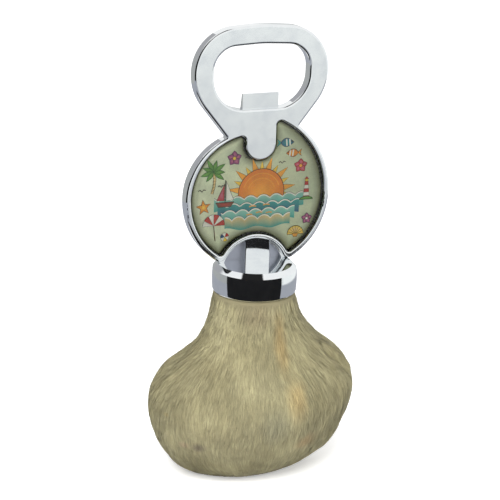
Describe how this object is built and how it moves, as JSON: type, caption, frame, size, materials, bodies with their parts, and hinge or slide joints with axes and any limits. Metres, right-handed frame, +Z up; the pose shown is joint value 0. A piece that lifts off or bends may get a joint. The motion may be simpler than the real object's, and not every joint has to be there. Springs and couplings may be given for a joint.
{
  "type": "souvenir bottle opener",
  "caption": "Chromed bottle opener with a cap-lifting loop and a round printed disc under clear resin, standing on a round collar that closes a stuffed cream fur pouch.",
  "frame": {"origin": "on the small flat that the pouch stands on, under the collar's axis and the middle of the part's plan outline", "axes": "+Z up along the part's length, from the pouch to the loop; the printed face looks along -Y; +X to the right as seen from the printed face"},
  "size_m": [0.0708, 0.056, 0.154],
  "materials": {
    "head_chrome": "bright chrome plate",
    "printed_picture": "printed film, cream green ground with a coloured picture",
    "clear_resin": "clear glossy casting resin",
    "collar_chrome": "bright chrome plate",
    "plated_steel": "zinc plated",
    "plug_wood": "raw turned wood",
    "binding_steel": "soft annealed wire",
    "glue": "dried hot glue",
    "fur_hide": "short cream fur on a tanned hide",
    "stuffing_fibre": "loose polyester fibre"
  },
  "bodies": {
    "root": {"opener_head": "head_chrome", "print_inlay": "printed_picture", "resin_dome": "clear_resin", "collar": "collar_chrome", "neck_screw": "plated_steel", "neck_washer": "plated_steel", "neck_plug": "plug_wood", "binding_wire": "binding_steel", "glue_bead": "glue", "pouch_skin": "fur_hide", "stuffing": "stuffing_fibre"}
  },
  "joints": []
}
